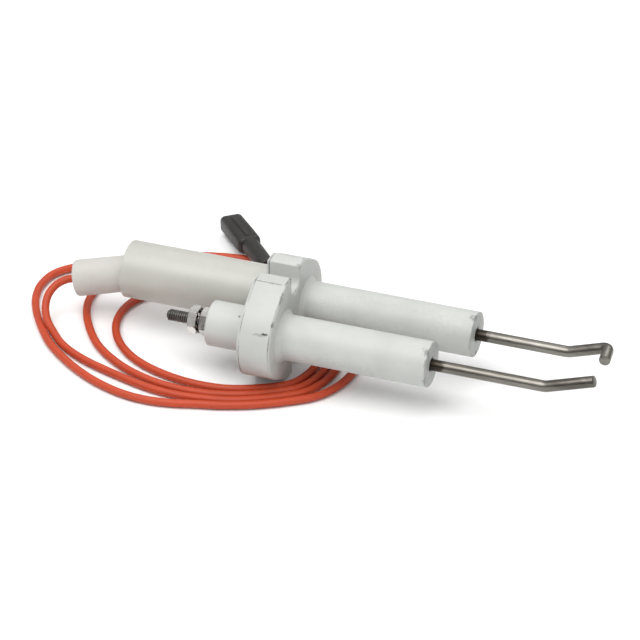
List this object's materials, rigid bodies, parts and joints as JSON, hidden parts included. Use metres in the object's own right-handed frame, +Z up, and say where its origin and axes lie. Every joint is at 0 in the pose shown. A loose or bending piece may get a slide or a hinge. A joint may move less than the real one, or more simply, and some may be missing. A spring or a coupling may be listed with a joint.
{
  "type": "ignition electrode",
  "caption": "Twin-rod spark ignition electrode: steel rods in ceramic tubes through a notched ceramic flange, with a sleeved terminal, rubber boot and high-voltage lead.",
  "frame": {"origin": "on the floor under the middle of everything except the free lead and its connector", "axes": "+X along the insulator tubes towards the electrode tips, +Y from the ground tube to the spark tube, +Z up"},
  "size_m": [0.2161, 0.121, 0.0382],
  "materials": {
    "ceramic": "matte",
    "cement": "matte",
    "electrode_steel": "satin",
    "plated_steel": "satin",
    "tinned_brass": "satin",
    "sleeving": "satin",
    "boot_rubber": "matte",
    "silicone_cable": "matte",
    "connector_nylon": "matte"
  },
  "bodies": {
    "electrode": {"flange_block": "ceramic", "ground_insulator": "ceramic", "spark_insulator": "ceramic", "ground_front_cement": "cement", "ground_rear_cement": "cement", "spark_front_cement": "cement", "ground_rod": "electrode_steel", "spark_rod": "electrode_steel", "ground_inner_nut": "plated_steel", "spark_inner_nut": "plated_steel", "spark_lock_washer": "plated_steel", "spark_outer_nut": "plated_steel", "spark_ring_terminal": "tinned_brass", "terminal_sleeve": "sleeving", "cable_boot": "boot_rubber", "inner_lead": "silicone_cable", "lead_cable": "silicone_cable", "connector_neck": "connector_nylon", "connector_housing": "connector_nylon", "connector_receptacle": "tinned_brass"},
    "washer": {"ground_lock_washer": "plated_steel"},
    "nut": {"ground_terminal_nut": "plated_steel"}
  },
  "joints": [
    {"name": "ground_nut_travel", "type": "slide", "parent": "electrode", "child": "washer", "axis": [-1, 0, 0], "range_m": [0, 0.00793]},
    {"name": "ground_nut_turn", "type": "hinge", "parent": "washer", "child": "nut", "pos_m": [-0.04501, -0.0117, 0.0191], "axis": [-1, 0, 0], "range_deg": [0, 3600]}
  ],
  "couplings": [
    {"joint": "ground_nut_turn", "follows": "ground_nut_travel", "rad_per_m": 7915.8}
  ]
}
